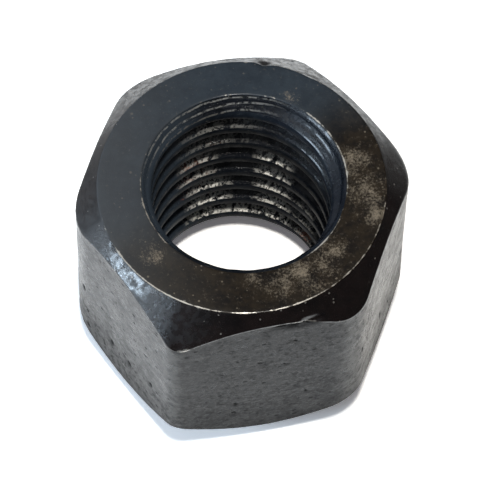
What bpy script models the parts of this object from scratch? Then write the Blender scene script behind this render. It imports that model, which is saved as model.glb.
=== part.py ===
"""Open hexagon wheel nut with a tapered seat, forged and turned from one piece of steel.

Metres, +Z up. The origin is on the thread's axis at the height of the seat end, which
points down. The turned outer face points up, and one wrench flat faces -Y.
"""

import math

import bmesh
import bpy
from mathutils import Matrix

MM = 0.001

# Hexagon
ACROSS_FLATS = 27.0 * MM
HEIGHT = 21.6 * MM
SIDES = 6
EDGE_RADIUS = 3.6 * MM
EDGE_SEGMENTS = 6

# Outer face, turned flat, with a chamfer that takes the hexagon's corners down
FACE_DIAMETER = 25.0 * MM
FACE_CHAMFER_ANGLE = math.radians(45.0)
FACE_EDGE_RADIUS = 0.4 * MM

# Seat end: a narrow flat ring inside a cone of 90 degrees, which centres the wheel
SEAT_RING_DIAMETER = 22.0 * MM
SEAT_ANGLE = math.radians(45.0)
SEAT_EDGE_RADIUS = 0.4 * MM

# Thread: right-handed metric form, in a bore drilled at the wide end of its tolerance
THREAD_DIAMETER = 18.0 * MM
THREAD_PITCH = 2.5 * MM
THREAD_FLANK_ANGLE = math.radians(30.0)
BORE_DIAMETER = 15.7 * MM
THREAD_DEPTH = (THREAD_DIAMETER - BORE_DIAMETER) / 2.0
THREAD_ROOT_WIDTH = THREAD_PITCH / 8.0
THREAD_GROOVE_WIDTH = THREAD_ROOT_WIDTH + 2.0 * THREAD_DEPTH * math.tan(THREAD_FLANK_ANGLE)
THREAD_START_ANGLE = math.radians(-47.5)

# Countersinks at the two mouths of the bore
OUTER_MOUTH_DIAMETER = 18.1 * MM
SEAT_MOUTH_DIAMETER = 19.9 * MM
MOUTH_ANGLE = math.radians(45.0)

# Fineness of the turned surfaces
TURNED_STEPS = 96
BORE_STEPS = 48
FILLET_STEPS = 4

# How far a cutter, and the bar that the nut is cut from, pass the ends of the nut
CUT_PAST = 2.0 * MM
TAP_START = 1.5 * THREAD_PITCH
TAP_PAST = 0.2 * THREAD_PITCH
MERGE_DISTANCE = 0.00001

# Finish
STEEL_COLOUR = (0.045, 0.046, 0.05, 1.0)
STEEL_ROUGHNESS = 0.38
STEEL_METALLIC = 0.85
SMOOTH_ANGLE = math.radians(32.0)


def clear_scene():
    """Remove every object that the open file holds."""
    for old in list(bpy.data.objects):
        bpy.data.objects.remove(old, do_unlink=True)


def new_collection(name):
    """Return a new collection linked to the scene."""
    collection = bpy.data.collections.new(name)
    bpy.context.scene.collection.children.link(collection)
    return collection


def new_object(name, mesh, collection):
    """Return a new object that shows mesh, in collection."""
    made = bpy.data.objects.new(name, mesh)
    collection.objects.link(made)
    return made


def as_helper(helper):
    """Keep a cutter or an envelope out of renders and draw it as wire."""
    helper.hide_render = True
    helper.display_type = "WIRE"
    return helper


def rounded(corners, radii):
    """Return the profile through corners, each (radius, z), with its corner rounded by radii[i]."""
    profile = []
    for i, (x, z) in enumerate(corners):
        if radii[i] == 0.0:
            profile.append((x, z))
            continue
        before, after = corners[i - 1], corners[i + 1]
        to_before = math.atan2(before[1] - z, before[0] - x)
        to_after = math.atan2(after[1] - z, after[0] - x)
        half_angle = 0.5 * abs((to_after - to_before + math.pi) % math.tau - math.pi)
        middle = math.atan2(
            math.sin(to_before) + math.sin(to_after),
            math.cos(to_before) + math.cos(to_after),
        )
        reach = radii[i] / math.sin(half_angle)
        centre = (x + reach * math.cos(middle), z + reach * math.sin(middle))
        along = radii[i] / math.tan(half_angle)
        first = math.atan2(
            z + along * math.sin(to_before) - centre[1],
            x + along * math.cos(to_before) - centre[0],
        )
        last = math.atan2(
            z + along * math.sin(to_after) - centre[1],
            x + along * math.cos(to_after) - centre[0],
        )
        sweep = (last - first + math.pi) % math.tau - math.pi
        for step in range(FILLET_STEPS + 1):
            angle = first + sweep * step / FILLET_STEPS
            profile.append((centre[0] + radii[i] * math.cos(angle), centre[1] + radii[i] * math.sin(angle)))
    return profile


def turned(name, profile, steps, collection):
    """Return a solid of revolution about Z, from a profile of (radius, z) that runs top to bottom."""
    mesh = bpy.data.meshes.new(name)
    points = [(radius, 0.0, z) for radius, z in profile]
    mesh.from_pydata(points, [(i, i + 1) for i in range(len(points) - 1)], [])
    body = new_object(name, mesh, collection)
    screw = body.modifiers.new("turn", "SCREW")
    screw.axis = "Z"
    screw.steps = steps
    screw.render_steps = steps
    screw.use_merge_vertices = True
    screw.merge_threshold = MERGE_DISTANCE
    return body


def hexagon_bar(name, collection):
    """Return a hexagon bar with rounded long edges and a flat towards -Y, which passes both ends of the nut."""
    mesh = bpy.data.meshes.new(name)
    bar = new_object(name, mesh, collection)
    shape = bmesh.new()
    corner_radius = ACROSS_FLATS / 2.0 / math.cos(math.pi / SIDES)
    standing = Matrix.Translation((0.0, 0.0, HEIGHT / 2.0))
    flat_to_front = Matrix.Rotation(math.pi / SIDES, 4, "Z")
    bmesh.ops.create_cone(
        shape,
        cap_ends=True,
        segments=SIDES,
        radius1=corner_radius,
        radius2=corner_radius,
        depth=HEIGHT + 2.0 * CUT_PAST,
        matrix=standing @ flat_to_front,
    )
    upright = [edge for edge in shape.edges if abs(edge.verts[0].co.z - edge.verts[1].co.z) > HEIGHT / 2.0]
    bmesh.ops.bevel(
        shape,
        geom=upright,
        offset=EDGE_RADIUS * math.tan(math.pi / SIDES),
        offset_type="OFFSET",
        segments=EDGE_SEGMENTS,
        profile=0.5,
        affect="EDGES",
    )
    shape.to_mesh(mesh)
    shape.free()
    return bar


def end_envelope(collection):
    """Return the turned body that gives the hexagon its chamfered face and its tapered seat."""
    face_radius = FACE_DIAMETER / 2.0
    ring_radius = SEAT_RING_DIAMETER / 2.0
    widest = ACROSS_FLATS / 2.0 / math.cos(math.pi / SIDES) + CUT_PAST
    corners = [
        (0.0, HEIGHT),
        (face_radius, HEIGHT),
        (widest, HEIGHT - (widest - face_radius) * math.tan(FACE_CHAMFER_ANGLE)),
        (widest, (widest - ring_radius) * math.tan(SEAT_ANGLE)),
        (ring_radius, 0.0),
        (0.0, 0.0),
    ]
    radii = [0.0, FACE_EDGE_RADIUS, 0.0, 0.0, SEAT_EDGE_RADIUS, 0.0]
    return as_helper(turned("end_envelope", rounded(corners, radii), TURNED_STEPS, collection))


def mouth_cutter(name, mouth_radius, height, outward, collection):
    """Return the cone that countersinks the bore at height. outward is 1 upwards and -1 downwards."""
    past_radius = mouth_radius + CUT_PAST * math.tan(MOUTH_ANGLE)
    tip_depth = mouth_radius / math.tan(MOUTH_ANGLE)
    profile = [
        (0.0, height + outward * CUT_PAST),
        (past_radius, height + outward * CUT_PAST),
        (0.0, height - outward * tip_depth),
    ]
    return as_helper(turned(name, profile[::outward], BORE_STEPS, collection))


def thread_turns():
    """Return how many turns the tap needs to pass both ends of the nut."""
    return math.ceil((HEIGHT + TAP_START + TAP_PAST) / THREAD_PITCH)


def tap(collection):
    """Return the tap that cuts bore and thread: one pitch of the thread's outline, swept up a helix.

    The sweep's turns are joined into one skin, and each open end is closed on the axis.
    """
    crest_radius = BORE_DIAMETER / 2.0
    root_radius = THREAD_DIAMETER / 2.0
    crest_end = THREAD_PITCH - THREAD_GROOVE_WIDTH
    flank_rise = (THREAD_GROOVE_WIDTH - THREAD_ROOT_WIDTH) / 2.0
    outline = [
        (crest_radius, 0.0, 0.0),
        (crest_radius, 0.0, crest_end),
        (root_radius, 0.0, crest_end + flank_rise),
        (root_radius, 0.0, THREAD_PITCH - flank_rise),
        (crest_radius, 0.0, THREAD_PITCH),
    ]
    mesh = bpy.data.meshes.new("thread_outline")
    mesh.from_pydata(outline, [(i, i + 1) for i in range(len(outline) - 1)], [])
    sweep = new_object("thread_outline", mesh, collection)
    helix = sweep.modifiers.new("helix", "SCREW")
    helix.axis = "Z"
    helix.steps = BORE_STEPS
    helix.render_steps = BORE_STEPS
    helix.screw_offset = THREAD_PITCH
    helix.iterations = thread_turns()
    evaluated = sweep.evaluated_get(bpy.context.evaluated_depsgraph_get())
    skin = bpy.data.meshes.new_from_object(evaluated)
    bpy.data.objects.remove(sweep, do_unlink=True)

    shape = bmesh.new()
    shape.from_mesh(skin)
    bmesh.ops.remove_doubles(shape, verts=shape.verts, dist=MERGE_DISTANCE)
    middle = thread_turns() * THREAD_PITCH / 2.0
    ends = [edge for edge in shape.edges if edge.is_boundary]
    lower = [edge for edge in ends if edge.verts[0].co.z < middle]
    upper = [edge for edge in ends if edge.verts[0].co.z >= middle]
    for loop, height in ((lower, THREAD_PITCH / 2.0), (upper, THREAD_PITCH / 2.0 + 2.0 * middle)):
        grown = bmesh.ops.extrude_edge_only(shape, edges=loop)["geom"]
        rim = [item for item in grown if isinstance(item, bmesh.types.BMVert)]
        bmesh.ops.pointmerge(shape, verts=rim, merge_co=(0.0, 0.0, height))
    bmesh.ops.recalc_face_normals(shape, faces=shape.faces)
    shape.to_mesh(skin)
    shape.free()
    cutter = as_helper(new_object("tap", skin, collection))
    cutter.location.z = -TAP_START
    cutter.rotation_euler.z = THREAD_START_ANGLE
    return cutter


def add_boolean(body, other, operation):
    """Combine body with other by an exact Boolean modifier."""
    combine = body.modifiers.new(other.name, "BOOLEAN")
    combine.operation = operation
    combine.object = other
    combine.solver = "EXACT"


def steel():
    """Return the black, oiled steel of the nut."""
    material = bpy.data.materials.new("black_steel")
    material.use_nodes = True
    shader = material.node_tree.nodes["Principled BSDF"]
    shader.inputs["Base Color"].default_value = STEEL_COLOUR
    shader.inputs["Roughness"].default_value = STEEL_ROUGHNESS
    shader.inputs["Metallic"].default_value = STEEL_METALLIC
    return material


def shade(body):
    """Shade the round surfaces smooth and keep the machined edges sharp."""
    body.data.materials.append(steel())
    body.data.shade_smooth()
    body.data.set_sharp_from_angle(angle=SMOOTH_ANGLE)


def build():
    """Model the nut from its sizes."""
    clear_scene()
    nut_collection = new_collection("wheel_nut")
    cutter_collection = new_collection("cutters")
    nut = hexagon_bar("wheel_nut", nut_collection)
    add_boolean(nut, end_envelope(cutter_collection), "INTERSECT")
    add_boolean(nut, tap(cutter_collection), "DIFFERENCE")
    outer_mouth = mouth_cutter("outer_mouth", OUTER_MOUTH_DIAMETER / 2.0, HEIGHT, 1, cutter_collection)
    seat_mouth = mouth_cutter("seat_mouth", SEAT_MOUTH_DIAMETER / 2.0, 0.0, -1, cutter_collection)
    add_boolean(nut, outer_mouth, "DIFFERENCE")
    add_boolean(nut, seat_mouth, "DIFFERENCE")
    shade(nut)


build()
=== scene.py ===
"""Dressed wheel nut: forged and turned steel, black oxide under oil, worn bright at its edges.

Metres, +Z up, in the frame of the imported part: the origin is on the thread's axis at the
seat end, and one wrench flat faces -Y. The nut is one skin, dressed zone by zone. Finishes
count in millimetres.
"""

import logging
import math
from dataclasses import dataclass
from enum import Enum

import bpy
import numpy as np
from mathutils import Matrix, Vector, noise


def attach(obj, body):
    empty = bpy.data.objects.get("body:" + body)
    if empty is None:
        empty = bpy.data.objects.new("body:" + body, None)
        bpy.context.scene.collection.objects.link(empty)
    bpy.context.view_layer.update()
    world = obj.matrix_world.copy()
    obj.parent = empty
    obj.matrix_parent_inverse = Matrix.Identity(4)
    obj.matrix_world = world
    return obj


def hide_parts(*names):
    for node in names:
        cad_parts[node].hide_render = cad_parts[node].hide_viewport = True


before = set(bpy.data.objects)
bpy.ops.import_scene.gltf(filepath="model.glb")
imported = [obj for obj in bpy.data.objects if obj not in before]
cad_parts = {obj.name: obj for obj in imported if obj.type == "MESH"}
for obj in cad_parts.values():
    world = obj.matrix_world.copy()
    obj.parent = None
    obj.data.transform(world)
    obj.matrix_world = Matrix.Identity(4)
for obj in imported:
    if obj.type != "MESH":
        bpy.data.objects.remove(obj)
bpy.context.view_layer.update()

LOG = logging.getLogger("wheel_nut")
MM = 0.001
NODE = "wheel_nut"

Colour = tuple[float, float, float]
Direction = tuple[float, float, float]
Socket = bpy.types.NodeSocket
Sockets = dict[str, Socket]
Feed = Socket | float | tuple[float, ...]


class Zone(Enum):
    """The surfaces that carry a finish of their own, numbered as their material slots."""

    FACE = 0
    CHAMFER = 1
    FLATS = 2
    SEAT = 3
    THREAD = 4
    CREST = 5


@dataclass(frozen=True)
class TurnedCircle:
    """A turned edge: its radius, and how far its centre lies off the thread's axis."""

    radius: float
    shift_x: float = 0.0
    shift_y: float = 0.0

    def reach(self, angles: np.ndarray) -> np.ndarray:
        """Return the circle's distance from the axis at each angle."""
        return self.radius + self.shift_x * np.cos(angles) + self.shift_y * np.sin(angles)


@dataclass(frozen=True)
class ForgedHexagon:
    """The outline of the six wrench flats, as forging and use have left it.

    Flat 0 faces -Y and the others follow anticlockwise. Corner i lies between flats i and i + 1.
    """

    across_flats: float = 27.0 * MM
    flat_turns: tuple[float, ...] = (0.0, 0.0, 0.0, 0.0, 0.0, -5.0)
    corner_roundings: tuple[float, ...] = (3.9 * MM, 5.2 * MM, 2.2 * MM, 4.4 * MM, 5.5 * MM, 1.8 * MM)
    least_cosine: float = 0.1

    def facings(self) -> list[float]:
        """Return the angle that each flat faces."""
        step = math.tau / len(self.flat_turns)
        return [-math.pi / 2 + i * step + math.radians(turn) for i, turn in enumerate(self.flat_turns)]

    def reach(self, angles: np.ndarray) -> np.ndarray:
        """Return the outline's distance from the axis at each angle.

        Args:
            angles: Polar angles in radians.

        Returns:
            One distance in metres for each angle, with the corners rounded.
        """
        half = self.across_flats / 2
        facings = self.facings()
        lines = [half / np.maximum(np.cos(angles - facing), self.least_cosine) for facing in facings]
        outline = np.min(lines, axis=0)
        for i, rounding in enumerate(self.corner_roundings):
            normals = np.array([[math.cos(a), math.sin(a)] for a in (facings[i], facings[(i + 1) % 6])])
            centre = np.linalg.solve(normals, [half - rounding, half - rounding])
            first, last = (centre + rounding * normal for normal in normals)
            start = math.atan2(first[1], first[0])
            sweep = (math.atan2(last[1], last[0]) - start) % math.tau
            along = centre[0] * np.cos(angles) + centre[1] * np.sin(angles)
            arc = along + np.sqrt(np.maximum(along**2 - centre @ centre + rounding**2, 0.0))
            outline = np.where((angles - start) % math.tau <= sweep, arc, outline)
        return outline

    def corner_closeness(self, angles: np.ndarray, width: float) -> np.ndarray:
        """Tell how near each angle is to an upright corner.

        Args:
            angles: Polar angles in radians.
            width: How far from a corner the result falls off, in metres.

        Returns:
            1 on a corner, and less with the distance from it.
        """
        facings = np.array(self.facings())
        corners = facings + ((np.roll(facings, -1) - facings) % math.tau) / 2
        away = np.min(np.abs((angles[:, None] - corners + math.pi) % math.tau - math.pi), axis=1)
        return np.exp(-((away * self.reach(angles) / width) ** 2))


@dataclass(frozen=True)
class InternalThread:
    """The right-handed metric thread in the bore, with its root filled a little by oil and dirt."""

    diameter: float = 18.0 * MM
    bore_diameter: float = 15.7 * MM
    pitch: float = 2.5 * MM
    flank_angle: float = math.radians(30.0)
    start_angle: float = math.radians(-47.5)
    start_turns: float = 1.5
    root_fill: float = 0.13 * MM
    root_share: float = 1 / 8
    edge_rounding: float = 0.03
    samples: tuple[float, ...] = (0.0, 0.05, 0.17, 0.29, 0.344, 0.41, 0.51, 0.609, 0.734, 0.83, 0.92, 0.97)
    edge_steepness: float = 4.0
    tearing_starts: float = -0.25
    tearing_ends: float = 0.85

    @property
    def crest_radius(self) -> float:
        """Return the radius of the crests, which the stud passes through."""
        return self.bore_diameter / 2

    @property
    def depth(self) -> float:
        """Return how far the root lies outside the crest."""
        return self.diameter / 2 - self.crest_radius

    @property
    def flank_share(self) -> float:
        """Return the share of the pitch that one flank takes."""
        return self.depth * math.tan(self.flank_angle) / self.pitch

    @property
    def crest_share(self) -> float:
        """Return the share of the pitch that the crest takes."""
        return 1.0 - self.root_share - 2 * self.flank_share

    def crest_start(self, angles: np.ndarray) -> np.ndarray:
        """Return the height at which one turn's crest starts, at each angle."""
        return self.pitch * ((angles - self.start_angle) / math.tau - self.start_turns)

    def groove(self, phase: np.ndarray) -> np.ndarray:
        """Follow the thread's profile, with its edges a little rounded.

        Args:
            phase: How far up one pitch from a crest's start, from 0 to 1.

        Returns:
            The groove's depth as a share of the thread's depth.
        """
        opening = self.crest_share
        root = opening + self.flank_share
        knots = [opening - 1.0 + self.flank_share, root - 1.0 + self.root_share, 0.0, opening, root]
        knots += [root + self.root_share, 1.0, 1.0 + opening, 1.0 + root]
        depths = [1.0, 1.0, 0.0, 0.0, 1.0, 1.0, 0.0, 0.0, 1.0]
        blurred = [np.interp(phase + shift, knots, depths) for shift in (-self.edge_rounding, 0.0, self.edge_rounding)]
        return np.mean(blurred, axis=0)

    def reach(self, angles: np.ndarray, heights: np.ndarray) -> np.ndarray:
        """Measure the thread's surface.

        Args:
            angles: Polar angles in radians.
            heights: Heights in metres, one for each angle.

        Returns:
            The surface's distance from the axis.
        """
        phase = ((heights - self.crest_start(angles)) / self.pitch) % 1.0
        root_radius = self.diameter / 2 - self.root_fill
        return np.minimum(self.crest_radius + self.depth * self.groove(phase), root_radius)

    def on_flank(self, angles: np.ndarray, heights: np.ndarray) -> np.ndarray:
        """Tell where the flank that looks up lies.

        Args:
            angles: Polar angles in radians.
            heights: Heights in metres, one for each angle.

        Returns:
            1 on its inner part, falling to 0 at the crest and the root.
        """
        phase = ((heights - self.crest_start(angles)) / self.pitch) % 1.0
        along = (phase - self.crest_share) / self.flank_share
        started = np.clip((along - self.tearing_starts) * self.edge_steepness, 0.0, 1.0)
        return started * np.clip((self.tearing_ends - along) * self.edge_steepness, 0.0, 1.0)


@dataclass(frozen=True)
class Bend:
    """One corner of the nut's half section, which goes round the nut, and the straight that follows it."""

    radius: np.ndarray
    height: float | np.ndarray
    back: float
    ahead: float
    rounding: float
    steps: int
    arc_zone: Zone
    straight_rows: int = 0
    straight_zone: Zone = Zone.FACE

    def arc(self) -> list[tuple[float, float]]:
        """Return the rounding's points, as (radius, height) from the sharp corner.

        Returns:
            One more point than there are steps, from the side that back points to.
        """
        back = np.array([math.cos(self.back), math.sin(self.back)])
        ahead = np.array([math.cos(self.ahead), math.sin(self.ahead)])
        half_angle = math.acos(float(np.clip(back @ ahead, -1.0, 1.0))) / 2
        middle = (back + ahead) / np.linalg.norm(back + ahead)
        centre = middle * self.rounding / math.sin(half_angle)
        first = back * self.rounding / math.tan(half_angle) - centre
        last = ahead * self.rounding / math.tan(half_angle) - centre
        start = math.atan2(first[1], first[0])
        sweep = (math.atan2(last[1], last[0]) - start + math.pi) % math.tau - math.pi
        turns = [start + sweep * step / self.steps for step in range(self.steps + 1)]
        return [
            (float(centre[0]) + self.rounding * math.cos(turn), float(centre[1]) + self.rounding * math.sin(turn))
            for turn in turns
        ]


@dataclass(frozen=True)
class Dent:
    """A pit, nick or gouge: where it lies, its half width round the nut, its half length and its depth."""

    angle: float
    height: float
    width: float
    length: float
    depth: float
    radius: float | None = None


@dataclass(frozen=True)
class WornPatch:
    """A worn or torn area: the angle of its middle, its half width round the nut, its ends and its strength."""

    angle: float
    spread: float
    low: float = -math.inf
    high: float = math.inf
    strength: float = 1.0
    past_side: float = 0.5
    past_end: float = 0.5

    def at(self, angles: np.ndarray, heights: np.ndarray) -> np.ndarray:
        """Measure the patch.

        Args:
            angles: Polar angles in radians.
            heights: Heights in metres, one for each angle.

        Returns:
            Its strength at each point, which fades out past its sides and its ends.
        """
        away = np.abs((np.degrees(angles) - self.angle + 180.0) % 360.0 - 180.0)
        sides = np.clip(1.0 + self.past_side - away / self.spread, 0.0, 1.0)
        low_end = np.clip((heights - self.low) / MM + self.past_end, 0.0, 1.0)
        high_end = np.clip((self.high - heights) / MM + self.past_end, 0.0, 1.0)
        return self.strength * sides * (low_end * high_end)


def strongest(patches: tuple[WornPatch, ...], angles: np.ndarray, heights: np.ndarray) -> np.ndarray:
    """Return the strength of the strongest patch at each point."""
    return np.max([patch.at(angles, heights) for patch in patches], axis=0)


@dataclass
class Skin:
    """The nut's surface as points and faces, with the zone of each face."""

    angles: np.ndarray
    radii: np.ndarray
    heights: np.ndarray
    faces: list[tuple[int, ...]]
    zones: list[Zone]

    def points(self) -> np.ndarray:
        """Return the points as rows of x, y and z."""
        flat = self.radii[:, None] * np.stack([np.cos(self.angles), np.sin(self.angles)], axis=1)
        return np.column_stack([flat, self.heights])

    def normals(self) -> np.ndarray:
        """Work out which way the surface faces.

        Returns:
            The unit normal at each point, from the faces round it.
        """
        points = self.points()
        corners = np.array([(face[0], face[1], face[2], face[-1]) for face in self.faces])
        across = np.cross(points[corners[:, 2]] - points[corners[:, 0]], points[corners[:, 3]] - points[corners[:, 1]])
        triangles = corners[:, 2] == corners[:, 3]
        first, second, third = (points[corners[triangles, k]] for k in range(3))
        across[triangles] = np.cross(second - first, third - first)
        summed = np.zeros_like(points)
        for column in range(4):
            np.add.at(summed, corners[:, column], across)
        least_length = 1e-12
        return summed / np.maximum(np.linalg.norm(summed, axis=1), least_length)[:, None]

    def drop_unused(self) -> None:
        """Remove the points that no face uses, and number the rest again."""
        used = np.unique(np.concatenate([np.array(face) for face in self.faces]))
        place = np.full(len(self.angles), -1)
        place[used] = np.arange(len(used))
        self.faces = [tuple(int(place[i]) for i in face) for face in self.faces]
        self.angles, self.radii, self.heights = self.angles[used], self.radii[used], self.heights[used]


@dataclass(frozen=True)
class SurfaceNoise:
    """Smooth noise through space, of a given grain in millimetres."""

    grain: float
    octaves: int = 3
    stretch: float = 1.0
    origin: Colour = (0.0, 0.0, 0.0)

    def at(self, points: np.ndarray) -> np.ndarray:
        """Return about -1 to 1 at each point.

        Args:
            points: Rows of x, y and z in metres.

        Returns:
            One value for each point. A stretch above 1 flattens the grain against Z.
        """
        scaled = points / (self.grain * MM) * np.array([1.0, 1.0, self.stretch]) + np.array(self.origin)
        return np.array([noise.fractal(Vector(p), 1.0, 2.0, self.octaves) for p in scaled.tolist()])


@dataclass
class NutBody:
    """The whole nut as one closed skin: hexagon, turned face, tapered seat and threaded bore."""

    hexagon: ForgedHexagon = ForgedHexagon()
    thread: InternalThread = InternalThread()
    height: float = 21.6 * MM
    face: TurnedCircle = TurnedCircle(12.5 * MM)
    face_angle: float = math.radians(45.0)
    seat_ring: TurnedCircle = TurnedCircle(11.0 * MM, -0.45 * MM, -0.42 * MM)
    seat_angle: float = math.radians(43.5)
    outer_mouth: TurnedCircle = TurnedCircle(8.94 * MM, 0.25 * MM, 0.24 * MM)
    seat_mouth: TurnedCircle = TurnedCircle(9.95 * MM)
    mouth_angle: float = math.radians(45.0)
    run_in_slope: float = 0.25
    run_in_step: float = 0.1 * MM
    columns: int = 400
    row_snap: float = 0.02
    spare_turns: int = 6
    flat_fade: float = 0.5 * MM
    flat_skin: float = 0.25 * MM
    wave_depth: float = 0.07 * MM
    mottle_depth: float = 0.02 * MM
    grain_depth: float = 0.01 * MM
    edge_grain_depth: float = 0.03 * MM
    tear_depth: float = 0.16 * MM
    tear_level: float = 0.3
    seat_easing: float = 1.0 * MM
    mouth_rub_width: float = 0.11 * MM
    face_rub_width: float = 0.09 * MM
    knock_width: float = 0.25 * MM
    corner_rub_width: float = 1.1 * MM
    corner_rub: float = 0.5
    random_pits: int = 260
    seed: int = 18
    pit_sizes: tuple[float, float] = (0.1, 0.2)
    pit_heights: tuple[float, float] = (3.0, 20.0)
    pit_widths: tuple[float, float] = (1.0, 1.9)
    pit_depths: tuple[float, float] = (0.1, 0.3)
    pit_darkness: float = 0.6
    dent_reach: float = 3.0
    corner_knocks: tuple[WornPatch, ...] = (
        WornPatch(-120.0, 2.2, strength=1.0),
        WornPatch(-79.0, 7.0, strength=0.8),
        WornPatch(0.0, 180.0, strength=0.4),
    )
    face_rubs: tuple[WornPatch, ...] = (
        WornPatch(-135.0, 32.0, strength=0.9),
        WornPatch(-101.0, 4.0, strength=1.0),
        WornPatch(-60.0, 50.0, strength=0.72),
        WornPatch(0.0, 180.0, strength=0.3),
    )
    mouth_rubs: tuple[WornPatch, ...] = (
        WornPatch(-172.0, 30.0, strength=0.7),
        WornPatch(15.0, 35.0, strength=0.75),
        WornPatch(-45.0, 20.0, strength=0.75),
        WornPatch(0.0, 180.0, strength=0.35),
    )
    torn_flanks: tuple[WornPatch, ...] = (
        WornPatch(100.0, 12.0, 2.0 * MM, 9.5 * MM, 1.0),
        WornPatch(108.0, 11.0, 9.0 * MM, 15.0 * MM, 0.65),
        WornPatch(57.0, 10.0, 2.5 * MM, 14.5 * MM, 1.0),
        WornPatch(95.0, 20.0, 15.5 * MM, 19.8 * MM, 0.22),
        WornPatch(32.0, 10.0, 2.0 * MM, 8.0 * MM, 0.3),
        WornPatch(80.0, 12.0, 1.5 * MM, 4.5 * MM, 0.9),
    )

    def bends(self, angles: np.ndarray) -> list[Bend]:
        """Return the corners of the half section, from the outer mouth over the outside to the seat mouth.

        Args:
            angles: The angle of each column of points.

        Returns:
            Six bends, each with its radius and height at every angle.
        """
        hexagon = self.hexagon.reach(angles)
        face = self.face.reach(angles)
        ring = self.seat_ring.reach(angles)
        shoulder = self.height - (hexagon - face) * math.tan(self.face_angle)
        heel = (hexagon - ring) * math.tan(self.seat_angle)
        outward, inward, up, down = 0.0, math.pi, math.pi / 2, -math.pi / 2
        into_bore, up_bore = math.pi + self.mouth_angle, math.pi - self.mouth_angle
        mouth, seat_mouth = self.outer_mouth.reach(angles), self.seat_mouth.reach(angles)
        up_face, down_seat = math.pi - self.face_angle, math.pi + self.seat_angle
        return [
            Bend(mouth, self.height, into_bore, outward, 0.22 * MM, 4, Zone.FACE, 15, Zone.FACE),
            Bend(face, self.height, inward, -self.face_angle, 0.2 * MM, 4, Zone.FACE, 12, Zone.CHAMFER),
            Bend(hexagon, shoulder, up_face, down, 0.3 * MM, 3, Zone.CHAMFER, 62, Zone.FLATS),
            Bend(hexagon, heel, up, down_seat, 0.6 * MM, 4, Zone.FLATS, 8, Zone.SEAT),
            Bend(ring, 0.0, self.seat_angle, inward, 0.4 * MM, 4, Zone.SEAT, 6, Zone.SEAT),
            Bend(seat_mouth, 0.0, outward, up_bore, 0.25 * MM, 3, Zone.SEAT),
        ]

    def outer_rows(self, bends: list[Bend]) -> tuple[np.ndarray, np.ndarray, list[Zone]]:
        """Return the rows of points from the outer mouth to the seat mouth.

        Args:
            bends: The corners of the half section.

        Returns:
            The radius and the height of each row at each angle, and the zone after each row but the last.
        """
        radii, heights, zones = [], [], []
        for bend, following in zip(bends, bends[1:] + [None]):
            arc = [(bend.radius + out, bend.height + up + 0.0 * bend.radius) for out, up in bend.arc()]
            radii += [row[0] for row in arc]
            heights += [row[1] for row in arc]
            zones += [bend.arc_zone] * bend.steps
            if following is None:
                break
            out, up = following.arc()[0]
            last = (following.radius + out, following.height + up)
            for row in range(1, bend.straight_rows):
                share = row / bend.straight_rows
                radii.append(arc[-1][0] * (1 - share) + last[0] * share)
                heights.append(arc[-1][1] * (1 - share) + last[1] * share)
            zones += [bend.straight_zone] * bend.straight_rows
        return np.array(radii), np.array(heights), zones

    def bore_radius(self, angles: np.ndarray, heights: np.ndarray) -> np.ndarray:
        """Measure the bore: the thread, its run-in under the mouth and the two countersinks.

        Args:
            angles: Polar angles in radians.
            heights: Heights in metres, one for each angle.

        Returns:
            The bore's radius.
        """
        below_face = self.height - heights
        outer_mouth = self.outer_mouth.reach(angles)
        run_in = outer_mouth + self.run_in_slope * below_face - self.run_in_step
        thread = np.minimum(self.thread.reach(angles, heights), run_in)
        outer_cone = outer_mouth - below_face / math.tan(self.mouth_angle)
        seat_cone = self.seat_mouth.reach(angles) - heights / math.tan(self.mouth_angle)
        return np.maximum(np.maximum(thread, outer_cone), seat_cone)

    def skin(self) -> Skin:
        """Return the nut's surface before any wear, with bore rows that follow the helix.

        Returns:
            A closed skin with its faces pointing out.
        """
        columns = self.columns
        angles = np.arange(columns) * math.tau / columns
        outer_radii, outer_heights, outer_zones = self.outer_rows(self.bends(angles))
        outer_count = len(outer_radii)
        low_end, high_end = outer_heights[-1], outer_heights[0]

        samples = self.thread.samples
        first_turn = -math.ceil(self.thread.start_turns) - 1
        turns = math.ceil(self.height / self.thread.pitch) + self.spare_turns
        rises = [(first_turn + turn + sample) * self.thread.pitch for turn in range(turns) for sample in samples]
        bore_heights = self.thread.crest_start(angles)[None, :] + np.array(rises)[:, None]
        snap = self.row_snap * self.thread.pitch
        below, above = bore_heights < low_end + snap, bore_heights > high_end - snap
        bore_radii = self.bore_radius(np.broadcast_to(angles, bore_heights.shape), bore_heights)

        column = np.arange(columns)
        outer_index = np.arange(outer_count)[:, None] * columns + column
        bore_index = (outer_count + np.arange(len(rises)))[:, None] * columns + column
        bore_index = np.where(below, outer_index[-1], np.where(above, outer_index[0], bore_index))
        closing = np.concatenate([bore_index[len(samples):, 0], np.full(len(samples), outer_index[0, 0])])
        outer_closed = np.column_stack([outer_index, outer_index[:, 0]])
        bore_closed = np.column_stack([bore_index, closing])

        crest_rows = [Zone.CREST if sample < self.thread.crest_share else Zone.THREAD for sample in samples]
        faces, zones = [], []
        for index, row_zones in ((outer_closed, outer_zones), (bore_closed, crest_rows * turns)):
            for row in range(len(index) - 1):
                corners = (index[row, :-1], index[row + 1, :-1], index[row + 1, 1:], index[row, 1:])
                for quad in np.stack(corners, axis=1).tolist():
                    face = tuple(dict.fromkeys(quad))
                    if len(face) > 2:
                        faces.append(face)
                        zones.append(row_zones[row])
        rows = outer_count + len(rises)
        skin = Skin(
            np.tile(angles, rows),
            np.concatenate([outer_radii.ravel(), bore_radii.ravel()]),
            np.concatenate([outer_heights.ravel(), bore_heights.ravel()]),
            faces,
            zones,
        )
        skin.drop_unused()
        return skin

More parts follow.
